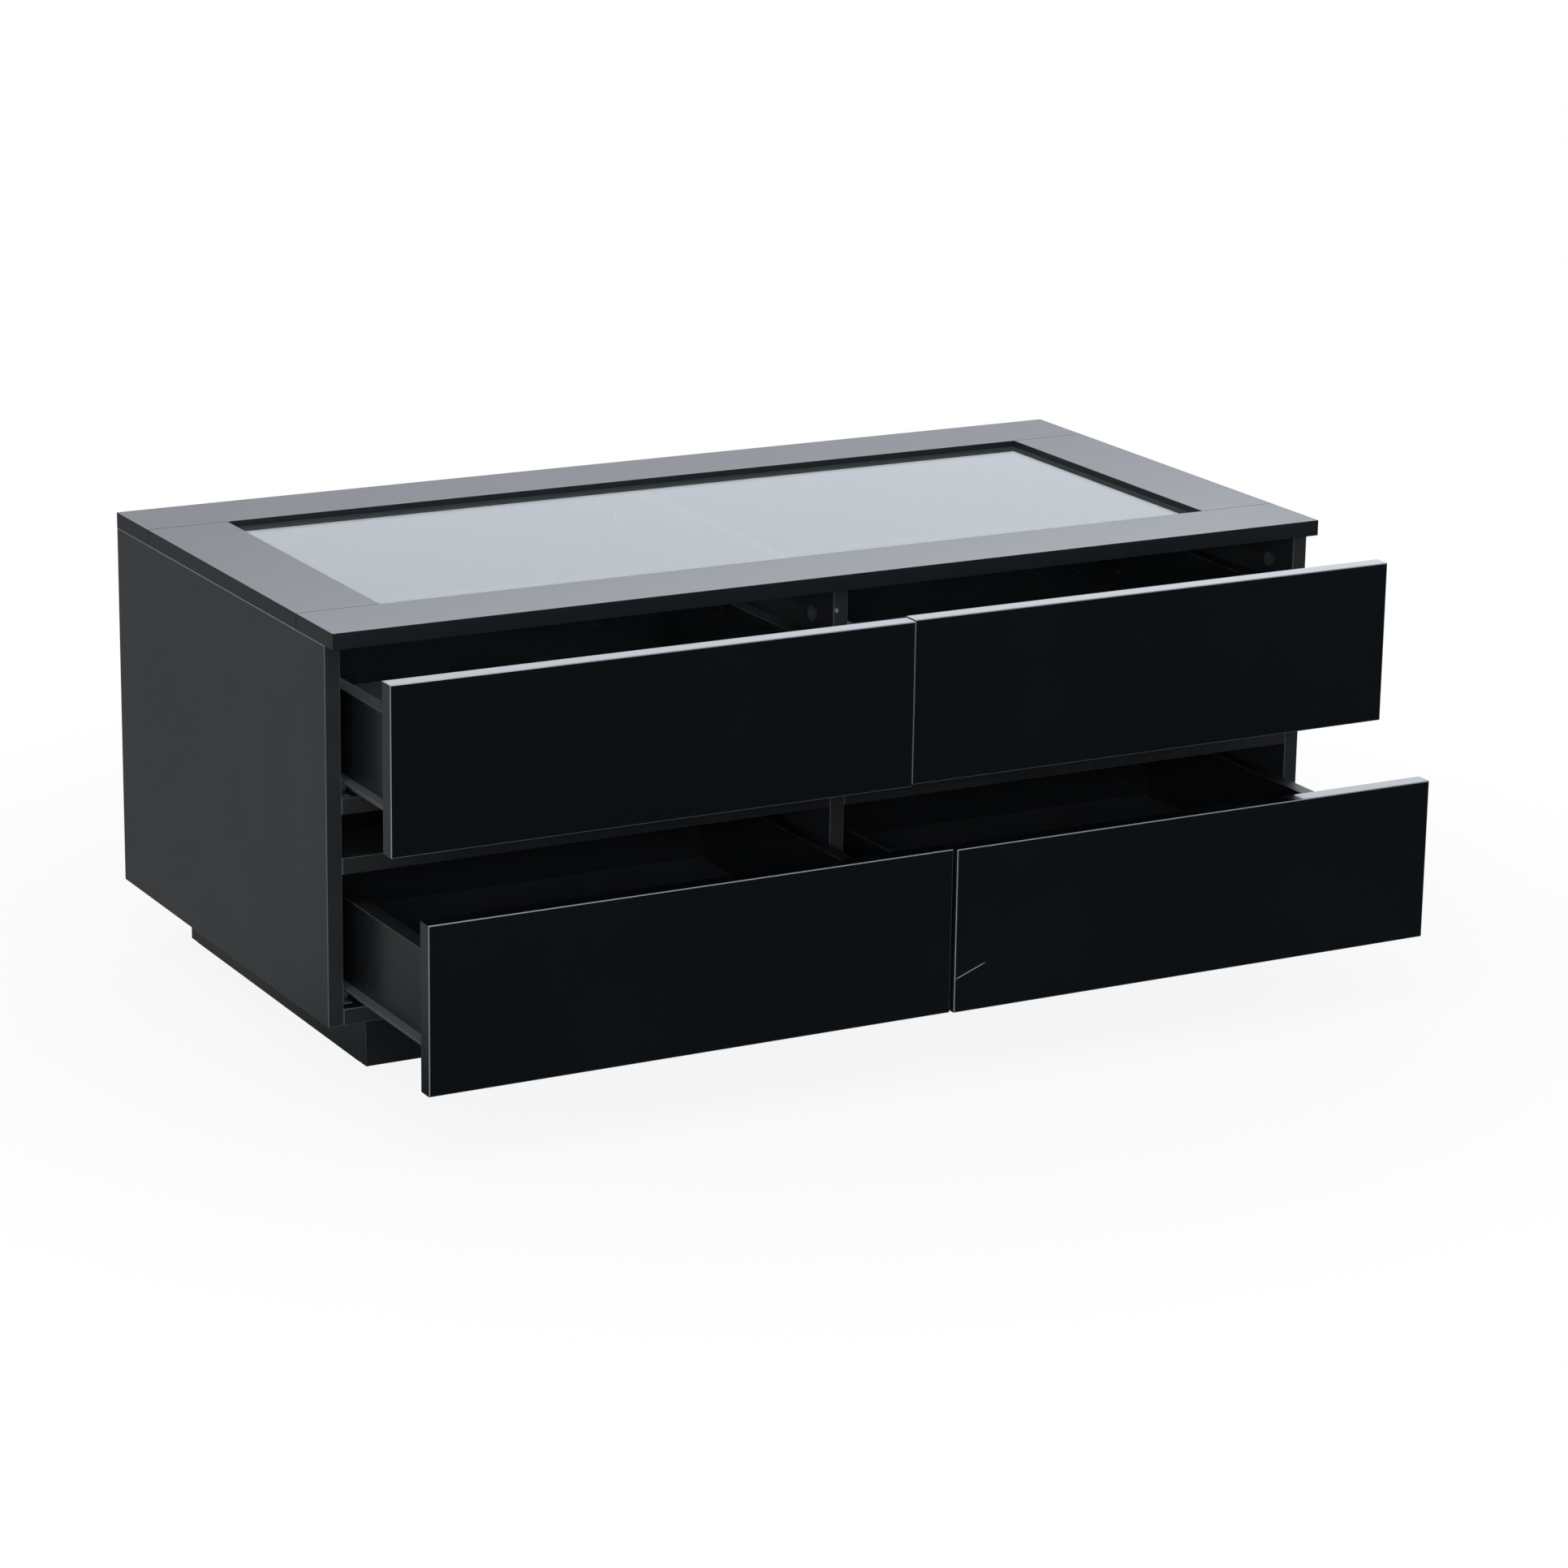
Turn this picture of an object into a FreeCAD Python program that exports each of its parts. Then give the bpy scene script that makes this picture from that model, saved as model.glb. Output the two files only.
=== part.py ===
import FreeCAD, Part
import os
import Sketcher

# Low display table: framed glass top, carcass on a plinth, four overlay drawers on roller runners.
# Millimetres. X is the length, -Y the front, +Z up, and the origin lies on the floor under the middle.
# The drawers rest as far out as they stand in the photograph.

doc = FreeCAD.newDocument("display_table")
sheet = doc.addObject("Spreadsheet::Sheet", "Sizes")

SIZES = (
    # Overall
    ("table_length", 1100.0, "length of the top"),
    ("table_depth", 550.0, "depth of the top"),
    ("table_height", 455.0, "floor to the top face"),
    ("board", 16.0, "carcass and top board thickness"),
    ("front_thick", 18.0, "drawer front thickness"),
    ("stop_gap", 2.0, "carcass front edge to the back of a closed front"),
    # Top frame and glass
    ("frame_width", 86.0, "rail and stile width seen from above"),
    ("joint_gap", 0.6, "stile end to rail"),
    ("glass_thick", 5.0, "glass thickness"),
    ("glass_recess", 6.0, "glass below the top face"),
    ("glass_gap", 0.6, "glass edge to the frame"),
    ("ledge_width", 10.0, "ledge under the glass"),
    # Plinth
    ("plinth_height", 64.0, "floor to the carcass"),
    ("plinth_front_inset", 49.0, "plinth behind the carcass front"),
    ("plinth_side_inset", 60.0, "plinth inside the side panels' outer faces"),
    ("plinth_back_inset", 32.0, "plinth in front of the carcass back"),
    # Drawer fronts and grip rails
    ("top_reveal", 2.0, "upper front below the top"),
    ("bottom_reveal", 4.0, "lower front above the carcass's underside"),
    ("grip_gap", 41.0, "upper front to lower front"),
    ("middle_gap", 3.0, "left front to right front"),
    ("edge_break", 0.8, "chamfer round a front's face"),
    ("rail_depth", 80.0, "grip rail depth"),
    ("rail_drop", 2.0, "lower rail below the lower front's top"),
    # Drawer boxes
    ("box_board", 16.0, "drawer side and back thickness"),
    ("back_room", 66.0, "closed drawer to the back panel"),
    ("box_drop", 49.0, "drawer side below the front's top"),
    ("base_thick", 4.0, "drawer bottom thickness"),
    ("base_lift", 10.0, "drawer bottom above the side's lower edge"),
    ("groove_depth", 6.0, "groove for the drawer bottom"),
    ("upper_left_open", 129.5, "how far the drawer stands open at rest"),
    ("upper_right_open", 124.0, "how far the drawer stands open at rest"),
    ("lower_left_open", 210.5, "how far the drawer stands open at rest"),
    ("lower_right_open", 213.5, "how far the drawer stands open at rest"),
    # Runners and rollers
    ("runner_gap", 12.5, "drawer side to the carcass wall"),
    ("runner_sheet", 1.2, "runner steel thickness"),
    ("runner_setback", 2.0, "runner short of the drawer side at each end"),
    ("foot_flange", 10.0, "drawer profile under the side"),
    ("web_height", 9.0, "drawer profile up the side"),
    ("slide_flange", 10.0, "drawer profile out over the roller"),
    ("track_flange", 8.8, "cabinet profile under the rear roller"),
    ("track_drop", 6.5, "cabinet profile below the drawer side"),
    ("track_rise", 14.0, "cabinet profile above the drawer side's lower edge"),
    ("rail_clear", 0.5, "cabinet profile above the grip rail"),
    ("roller_radius", 6.0, "roller radius"),
    ("roller_width", 6.6, "roller width"),
    ("roller_play", 0.3, "roller to its track and to its profile"),
    ("roller_end", 12.0, "roller axis from the profile's end"),
    ("axle_radius", 2.0, "axle radius"),
    ("axle_fit", 0.05, "axle to roller bore"),
    ("axle_head_radius", 3.5, "axle head radius"),
    ("axle_head_thick", 0.8, "axle head thickness"),
    # Fittings
    ("cam_radius", 7.5, "cam lock body radius"),
    ("cam_fit", 0.05, "cam lock to its bore"),
    ("cam_depth", 12.5, "cam lock bore depth"),
    ("cap_radius", 9.5, "cam cap radius"),
    ("cap_thick", 1.2, "cam cap thickness"),
    ("cam_back", 43.0, "cam lock behind the carcass's front edge"),
    ("cam_drop", 37.0, "cam lock below the top"),
    ("bumper_radius", 2.2, "bumper radius"),
    ("bumper_inset", 2.6, "bumper inside the partition's left face"),
    ("bumper_fit", 0.2, "bumper to a closed front"),
    ("bumper_drop", 22.5, "bumper below a front's top"),
    # Cutting
    ("overrun", 1.0, "how far a cutting shape runs past the face"),
)

for row, (alias, value, note) in enumerate(SIZES, start=1):
    sheet.set("A%d" % row, note)
    sheet.set("B%d" % row, str(value))
    sheet.setAlias("B%d" % row, alias)
doc.recompute()


def sized(text):
    """Point every size name of a spaced expression at the sheet."""
    words = text.split()
    return " ".join("Sizes." + w if w[0].isalpha() and "." not in w else w for w in words)


def bind(thing, **props):
    """Bind properties of an object to expressions; a double underscore stands for a dot."""
    for prop, text in props.items():
        thing.setExpression(prop.replace("__", "."), sized(text))


def place(thing, x, y, z):
    """Bind an object's position."""
    bind(thing, Placement__Base__x=x, Placement__Base__y=y, Placement__Base__z=z)


def box(name, x, y, z, length, width, height):
    """A board or block from its lowest corner."""
    made = doc.addObject("Part::Box", name)
    bind(made, Length=length, Width=width, Height=height)
    place(made, x, y, z)
    return made


def rod(name, radius, length, x, y, z):
    """A cylinder that runs along +X from its start point."""
    made = doc.addObject("Part::Cylinder", name)
    turn = FreeCAD.Rotation(FreeCAD.Vector(0, 1, 0), 90)
    made.Placement = FreeCAD.Placement(FreeCAD.Vector(0, 0, 0), turn)
    bind(made, Radius=radius, Height=length)
    place(made, x, y, z)
    return made


def disc(name, radius, length, x, y, z):
    """A cylinder that runs along -Y from its start point."""
    made = doc.addObject("Part::Cylinder", name)
    turn = FreeCAD.Rotation(FreeCAD.Vector(1, 0, 0), 90)
    made.Placement = FreeCAD.Placement(FreeCAD.Vector(0, 0, 0), turn)
    bind(made, Radius=radius, Height=length)
    place(made, x, y, z)
    return made


def fuse(name, *shapes):
    """One solid from several."""
    made = doc.addObject("Part::MultiFuse", name)
    made.Shapes = list(shapes)
    made.Refine = True
    return made


def cut(name, base, tool):
    """One solid less another."""
    made = doc.addObject("Part::Cut", name)
    made.Base = base
    made.Tool = tool
    made.Refine = True
    return made


def group(name, *shapes):
    """Several like solids in one node."""
    made = doc.addObject("Part::Compound", name)
    made.Links = list(shapes)
    return made


def origin_plane(body, role):
    """One of a body's own planes."""
    return [f for f in body.Origin.OriginFeatures if f.Role == role][0]


def sketch_on(body, role, name):
    """An empty sketch on one of the body's planes."""
    made = body.newObject("Sketcher::SketchObject", name)
    made.AttachmentSupport = [(origin_plane(body, role), "")]
    made.MapMode = "FlatFace"
    return made


def dimension(sketch, text, *what):
    """A driving dimension bound to an expression."""
    index = sketch.addConstraint(Sketcher.Constraint(*what))
    sketch.setExpression("Constraints[%d]" % index, sized(text))


def rectangle(sketch, width, height, left=None, low=None):
    """A rectangle from the sketch's origin, or set off from it by left and low."""
    v = FreeCAD.Vector
    corners = [v(0, 0, 0), v(2, 0, 0), v(2, 1, 0), v(0, 1, 0)]
    if left or low:
        corners = [c + v(1, 1, 0) for c in corners]
    for i in range(4):
        sketch.addGeometry(Part.LineSegment(corners[i], corners[(i + 1) % 4]), False)
    for i in range(4):
        sketch.addConstraint(Sketcher.Constraint("Coincident", i, 2, (i + 1) % 4, 1))
    for i in (0, 2):
        sketch.addConstraint(Sketcher.Constraint("Horizontal", i))
    for i in (1, 3):
        sketch.addConstraint(Sketcher.Constraint("Vertical", i))
    dimension(sketch, width, "DistanceX", 0, 1, 0, 2, 2.0)
    dimension(sketch, height, "DistanceY", 1, 1, 1, 2, 1.0)
    if left or low:
        dimension(sketch, left, "DistanceX", -1, 1, 0, 1, 1.0)
        dimension(sketch, low, "DistanceY", -1, 1, 0, 1, 1.0)
    else:
        sketch.addConstraint(Sketcher.Constraint("Coincident", 0, 1, -1, 1))


def circle(sketch, radius, across, up):
    """A circle by its centre's distances from the sketch's origin."""
    index = sketch.addGeometry(Part.Circle(FreeCAD.Vector(5, 5, 0), FreeCAD.Vector(0, 0, 1), 1.0), False)
    dimension(sketch, radius, "Radius", index, 1.0)
    dimension(sketch, across, "DistanceX", -1, 1, index, 3, 5.0)
    dimension(sketch, up, "DistanceY", -1, 1, index, 3, 5.0)


def pad(body, sketch, length, name, backwards=False):
    """A pad of a sketch."""
    made = body.newObject("PartDesign::Pad", name)
    made.Profile = sketch
    made.Reversed = backwards
    bind(made, Length=length)
    sketch.Visibility = False
    return made


def pocket(body, sketch, length, name, backwards=False):
    """A pocket of a sketch."""
    made = body.newObject("PartDesign::Pocket", name)
    made.Profile = sketch
    made.Reversed = backwards
    bind(made, Length=length)
    sketch.Visibility = False
    return made


NODES = []


def node(label, thing):
    """Keep an object as a sub-part under its own label."""
    thing.Label = label
    NODES.append(thing)
    return thing


# Places that several pieces share
HALF = "( table_length / 2 )"
BACK = "( table_depth / 2 )"
UNDER = "( table_height - board )"
OVERHANG = "( front_thick + stop_gap )"
FACE = "( 0 - table_depth / 2 + front_thick + stop_gap )"
WALL_HEIGHT = "( table_height - board - plinth_height )"
FLOOR = "( plinth_height + board )"
BAY = "( ( table_length - 3 * board ) / 2 )"
FRONT_HEIGHT = "( ( %s - top_reveal - bottom_reveal - grip_gap ) / 2 )" % WALL_HEIGHT
FRONT_WIDTH = "( ( table_length - middle_gap ) / 2 )"
LOWER_Z = "( plinth_height + bottom_reveal )"
UPPER_Z = "( %s - top_reveal - %s )" % (UNDER, FRONT_HEIGHT)
SIDE_LIFT = "( board + track_drop + rail_clear )"
SIDE_HEIGHT = "( %s - box_drop - %s )" % (FRONT_HEIGHT, SIDE_LIFT)
BOX_LENGTH = "( table_depth - %s - board + stop_gap - back_room )" % OVERHANG
RUNNER_LENGTH = "( %s - 2 * runner_setback )" % BOX_LENGTH
SEAT = "( glass_recess + glass_thick )"
CAM_Z = "( %s - cam_drop )" % UNDER
CAM_FRONT = "( %s + cam_back )" % FACE
CAM_REAR = "( %s - board - cam_back )" % BACK


# Top frame: two long rails, two stiles between them, each with a ledge for the glass
def frame_rail(label, y, ledge_y):
    main = box(label + "_main", "0 - " + HALF, y, UNDER, "table_length", "frame_width", "board")
    ledge = box(label + "_ledge", "0 - %s + frame_width" % HALF, ledge_y, UNDER,
                "table_length - 2 * frame_width", "ledge_width", "board - " + SEAT)
    node(label, fuse(label, main, ledge))


def frame_stile(label, x, ledge_x):
    main = box(label + "_main", x, "0 - %s + frame_width + joint_gap" % BACK, UNDER,
               "frame_width", "table_depth - 2 * frame_width - 2 * joint_gap", "board")
    ledge = box(label + "_ledge", ledge_x, "0 - %s + frame_width + ledge_width" % BACK, UNDER,
                "ledge_width", "table_depth - 2 * frame_width - 2 * ledge_width", "board - " + SEAT)
    node(label, fuse(label, main, ledge))


frame_rail("top_front_rail", "0 - " + BACK, "0 - %s + frame_width" % BACK)
frame_rail("top_back_rail", BACK + " - frame_width", BACK + " - frame_width - ledge_width")
frame_stile("top_left_stile", "0 - " + HALF, "0 - %s + frame_width" % HALF)
frame_stile("top_right_stile", HALF + " - frame_width", HALF + " - frame_width - ledge_width")

node("glass_panel", box("glass_panel", "0 - %s + frame_width + glass_gap" % HALF,
                        "0 - %s + frame_width + glass_gap" % BACK, "table_height - " + SEAT,
                        "table_length - 2 * frame_width - 2 * glass_gap",
                        "table_depth - 2 * frame_width - 2 * glass_gap", "glass_thick"))


# Carcass walls, each a padded board with blind bores for its cam locks
def wall(label, x, y_length, z, height, outward, bored_backwards):
    body = doc.addObject("PartDesign::Body", label)
    outline = sketch_on(body, "YZ_Plane", label + "_outline")
    rectangle(outline, y_length, height)
    pad(body, outline, "board", label + "_board", not outward)
    bores = sketch_on(body, "YZ_Plane", label + "_bores")
    up = "%s - ( %s )" % (CAM_Z, z)
    circle(bores, "cam_radius + cam_fit", "cam_back", up)
    circle(bores, "cam_radius + cam_fit", "%s - %s" % (CAM_REAR, FACE), up)
    pocket(body, bores, "cam_depth", label + "_bore_cut", bored_backwards)
    place(body, x, FACE, z)
    node(label, body)


SIDE_DEPTH = "table_depth - " + OVERHANG
wall("left_side_panel", "0 - %s + board" % HALF, SIDE_DEPTH, "plinth_height", WALL_HEIGHT, False, False)
wall("right_side_panel", HALF + " - board", SIDE_DEPTH, "plinth_height", WALL_HEIGHT, True, True)
wall("centre_partition", "0 - board / 2", SIDE_DEPTH + " - board", FLOOR, WALL_HEIGHT + " - board", True, True)

node("bottom_board", box("bottom_board", "0 - %s + board" % HALF, FACE, "plinth_height",
                         "table_length - 2 * board", SIDE_DEPTH + " - board", "board"))
node("back_panel", box("back_panel", "0 - %s + board" % HALF, BACK + " - board", "plinth_height",
                       "table_length - 2 * board", "board", WALL_HEIGHT))

BAYS = (("left", "( 0 - %s + board )" % HALF), ("right", "( board / 2 )"))
ROWS = (("upper", UPPER_Z), ("lower", LOWER_Z))

# Grip rails: the finger recess lies between the upper and the lower one
for side, bay_x in BAYS:
    node("upper_grip_rail_" + side, box("upper_grip_rail_" + side, bay_x, FACE, UPPER_Z,
                                        BAY, "rail_depth", "board"))
    node("lower_grip_rail_" + side, box("lower_grip_rail_" + side, bay_x, FACE,
                                        "%s + %s - rail_drop - board" % (LOWER_Z, FRONT_HEIGHT),
                                        BAY, "rail_depth", "board"))

# Plinth: front and back boards with three boards between them
PLINTH_X = "( 0 - %s + plinth_side_inset )" % HALF
PLINTH_Y = "( %s + plinth_front_inset )" % FACE
PLINTH_BETWEEN = "%s - plinth_front_inset - plinth_back_inset - 2 * board" % SIDE_DEPTH
node("plinth_front", box("plinth_front", PLINTH_X, PLINTH_Y, "0 * board",
                         "table_length - 2 * plinth_side_inset", "board", "plinth_height"))
node("plinth_back", box("plinth_back", PLINTH_X, BACK + " - plinth_back_inset - board", "0 * board",
                        "table_length - 2 * plinth_side_inset", "board", "plinth_height"))
for label, x in (("plinth_left", PLINTH_X), ("plinth_centre", "0 - board / 2"),
                 ("plinth_right", HALF + " - plinth_side_inset - board")):
    node(label, box(label, x, PLINTH_Y + " + board", "0 * board", "board", PLINTH_BETWEEN, "plinth_height"))

# Cam locks: a body in the bore and a cap on the face
cams = []
for label, face_x, into in (("left", "0 - %s + board" % HALF, -1), ("right", HALF + " - board", 1),
                            ("centre", "0 - board / 2", 1)):
    for end, y in (("front", CAM_FRONT), ("rear", CAM_REAR)):
        name = "cam_%s_%s" % (label, end)
        if into > 0:
            shank = rod(name + "_shank", "cam_radius", "cam_depth", face_x, y, CAM_Z)
            cap = rod(name + "_cap", "cap_radius", "cap_thick", face_x + " - cap_thick", y, CAM_Z)
        else:
            shank = rod(name + "_shank", "cam_radius", "cam_depth", face_x + " - cam_depth", y, CAM_Z)
            cap = rod(name + "_cap", "cap_radius", "cap_thick", face_x, y, CAM_Z)
        cams.append(fuse(name, shank, cap))
node("cam_locks", group("cam_locks", *cams))

# Bumper on the partition's front edge, behind the upper left front
node("partition_bumper", disc("partition_bumper", "bumper_radius", "stop_gap - bumper_fit",
                              "bumper_inset - board / 2", FACE,
                              "%s + %s - bumper_drop" % (UPPER_Z, FRONT_HEIGHT)))


# Drawer front: a padded board with a groove for the drawer bottom and a broken edge round its face
def drawer_front(label, x, y, z, groove_left):
    body = doc.addObject("PartDesign::Body", label)
    outline = sketch_on(body, "XZ_Plane", label + "_outline")
    rectangle(outline, FRONT_WIDTH, FRONT_HEIGHT)
    slab = pad(body, outline, "front_thick", label + "_board")
    doc.recompute()
    depth = slab.Shape.BoundBox.YMin
    near = 1e-6 * slab.Shape.BoundBox.DiagonalLength
    edges = []
    for index, edge in enumerate(slab.Shape.Edges, start=1):
        if all(abs(v.Point.y - depth) < near for v in edge.Vertexes):
            edges.append("Edge%d" % index)
    broken = body.newObject("PartDesign::Chamfer", label + "_edges")
    broken.Base = (slab, edges)
    bind(broken, Size="edge_break")
    slab.Visibility = False
    groove = sketch_on(body, "XZ_Plane", label + "_groove")
    rectangle(groove, "%s - 2 * runner_gap - 2 * box_board + 2 * groove_depth" % BAY, "base_thick",
              groove_left, SIDE_LIFT + " + base_lift")
    pocket(body, groove, "groove_depth", label + "_groove_cut", True)
    place(body, x, y, z)
    node(label, body)


# Roller with a bore for its axle
def roller(name, x, y, z):
    wheel = rod(name + "_wheel", "roller_radius", "roller_width", x, y, z)
    bore = rod(name + "_bore", "axle_radius + axle_fit", "roller_width + 2 * overrun", x + " - overrun", y, z)
    return cut(name, wheel, bore)


# Runner profiles of one drawer wall. The wall's face is at x, the carcass wall at x + gap for outward > 0.
def span(x, start, stop, outward):
    """The lower X of a stretch that runs from start to stop away from x."""
    if outward > 0:
        return "%s + %s" % (x, start)
    return "%s - ( %s )" % (x, stop)


def drawer_runner(name, x, y, z, outward):
    foot = box(name + "_foot", span(x, "0 - foot_flange", "0 - 0 * board", outward), y, z + " - runner_sheet",
               "foot_flange", RUNNER_LENGTH, "runner_sheet")
    web = box(name + "_web", span(x, "0 * board", "runner_sheet", outward), y, z + " - runner_sheet",
              "runner_sheet", RUNNER_LENGTH, "web_height + runner_sheet")
    lip = box(name + "_lip", span(x, "0 * board", "slide_flange", outward), y, z + " + web_height - runner_sheet",
              "slide_flange", RUNNER_LENGTH, "runner_sheet")
    at_y = y + " + %s - roller_end" % RUNNER_LENGTH
    at_z = z + " - track_drop + runner_sheet + roller_play + roller_radius"
    reach = "runner_sheet + 2 * roller_play + roller_width"
    axle = rod(name + "_axle", "axle_radius", reach, span(x, "0 * board", reach, outward), at_y, at_z)
    head = rod(name + "_head", "axle_head_radius", "axle_head_thick",
               span(x, reach, reach + " + axle_head_thick", outward), at_y, at_z)
    start = "runner_sheet + roller_play"
    wheel = roller(name + "_roller", span(x, start, start + " + roller_width", outward), at_y, at_z)
    return fuse(name, foot, web, lip, axle, head), wheel


def cabinet_runner(name, x, y, z, outward):
    low = z + " - track_drop"
    web = box(name + "_web", span(x, "runner_gap - runner_sheet", "runner_gap", outward), y, low,
              "runner_sheet", RUNNER_LENGTH, "track_drop + track_rise")
    track = box(name + "_track", span(x, "runner_gap - runner_sheet - track_flange", "runner_gap", outward), y, low,
                "track_flange + runner_sheet", RUNNER_LENGTH, "runner_sheet")
    at_y = y + " + roller_end"
    at_z = z + " + web_height - runner_sheet - roller_play - roller_radius"
    near = "runner_gap - runner_sheet - 2 * roller_play - roller_width"
    axle = rod(name + "_axle", "axle_radius", "runner_gap - ( %s )" % near,
               span(x, near, "runner_gap", outward), at_y, at_z)
    head = rod(name + "_head", "axle_head_radius", "axle_head_thick",
               span(x, near + " - axle_head_thick", near, outward), at_y, at_z)
    start = near + " + roller_play"
    wheel = roller(name + "_roller", span(x, start, start + " + roller_width", outward), at_y, at_z)
    return fuse(name, web, track, axle, head), wheel


def drawer(row, front_z, side, bay_x, front_x):
    key = "%s_%s" % (row, side)
    back_y = "( %s - stop_gap - %s_open )" % (FACE, key)
    low = "( %s + %s )" % (front_z, SIDE_LIFT)
    left_x = "( %s + runner_gap )" % bay_x
    right_x = "( %s + %s - runner_gap )" % (bay_x, BAY)
    groove_x = "( %s + box_board - groove_depth )" % left_x
    groove_width = "%s - 2 * runner_gap - 2 * box_board + 2 * groove_depth" % BAY
    drawer_front(key + "_front", front_x, back_y, front_z, "%s - ( %s )" % (groove_x, front_x))

    # Sides with a groove along the inner face
    for hand, x, slot_x in (("left", left_x, groove_x),
                            ("right", right_x + " - box_board", right_x + " - box_board - overrun")):
        name = "%s_%s_side" % (key, hand)
        plank = box(name + "_plank", x, back_y, low, "box_board", BOX_LENGTH, SIDE_HEIGHT)
        slot = box(name + "_slot", slot_x, back_y + " - overrun", low + " + base_lift", "groove_depth + overrun",
                   BOX_LENGTH + " + 2 * overrun", "base_thick")
        node(name, cut(name, plank, slot))

    # Back stands on the bottom, which runs in the grooves of the sides and of the front
    node(key + "_back", box(key + "_back", left_x + " + box_board", back_y + " + %s - box_board" % BOX_LENGTH,
                            low + " + base_lift + base_thick", BAY + " - 2 * runner_gap - 2 * box_board",
                            "box_board", SIDE_HEIGHT + " - base_lift - base_thick"))
    node(key + "_bottom", box(key + "_bottom", groove_x, back_y + " - groove_depth", low + " + base_lift",
                              groove_width, BOX_LENGTH + " + groove_depth", "base_thick"))

    # Runners and rollers, a pair of each
    profiles, tracks, rear_wheels, front_wheels = [], [], [], []
    for hand, x, outward in (("left", left_x, -1), ("right", right_x, 1)):
        profile, rear = drawer_runner("%s_%s_runner" % (key, hand), x, back_y + " + runner_setback", low, outward)
        track, lead = cabinet_runner("%s_%s_track" % (key, hand), x, FACE + " + runner_setback", low, outward)
        profiles.append(profile)
        rear_wheels.append(rear)
        tracks.append(track)
        front_wheels.append(lead)
    node(key + "_drawer_runners", group(key + "_drawer_runners", *profiles))
    node(key + "_rear_rollers", group(key + "_rear_rollers", *rear_wheels))
    node(key + "_cabinet_runners", group(key + "_cabinet_runners", *tracks))
    node(key + "_front_rollers", group(key + "_front_rollers", *front_wheels))


for row, front_z in ROWS:
    for side, bay_x in BAYS:
        front_x = "( 0 - %s )" % HALF if side == "left" else "( middle_gap / 2 )"
        drawer(row, front_z, side, bay_x, front_x)

doc.recompute()

os.makedirs("parts", exist_ok=True)
for thing in doc.Objects:
    if "Invalid" in thing.State or "Error" in thing.State:
        raise RuntimeError("%s failed to build" % thing.Name)
for thing in NODES:
    if thing.Shape.isNull() or not thing.Shape.isValid() or not thing.Shape.Solids:
        raise RuntimeError("%s has no sound solid" % thing.Label)
    thing.Shape.exportStep("parts/%s.step" % thing.Label)
print("%d sub-parts written" % len(NODES))
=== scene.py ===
"""Looks for a low black display table with a glass top and four drawers that stand part way out."""

import logging
import math
from dataclasses import dataclass, replace
from enum import Enum
from typing import Dict, Iterable, List, Optional, Sequence, Tuple, Union

import bmesh
import bpy
from mathutils import Matrix, Vector


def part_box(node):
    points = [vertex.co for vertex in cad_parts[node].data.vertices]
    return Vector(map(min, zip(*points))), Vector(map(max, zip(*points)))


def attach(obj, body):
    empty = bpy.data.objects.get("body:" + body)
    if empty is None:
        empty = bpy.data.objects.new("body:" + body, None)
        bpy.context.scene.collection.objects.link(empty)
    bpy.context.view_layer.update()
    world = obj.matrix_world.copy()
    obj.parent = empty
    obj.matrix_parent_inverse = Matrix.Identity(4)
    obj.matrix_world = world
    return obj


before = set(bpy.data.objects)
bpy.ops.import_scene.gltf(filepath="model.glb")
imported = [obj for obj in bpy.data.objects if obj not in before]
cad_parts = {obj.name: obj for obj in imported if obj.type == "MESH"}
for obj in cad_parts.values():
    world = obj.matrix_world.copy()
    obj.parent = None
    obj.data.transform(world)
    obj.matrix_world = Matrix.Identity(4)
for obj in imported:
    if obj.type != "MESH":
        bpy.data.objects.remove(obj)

LOG = logging.getLogger("display_table")
Colour = Tuple[float, float, float]
Point = Tuple[float, float, float]
Span = Tuple[float, float]
MM = 0.001
NOISE_MEAN = 0.5
SMALLEST_SPECK = 0.35
SLANTED: Span = (0.15, 0.3)
LOOKS_UP: Span = (0.2, 0.5)


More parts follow.
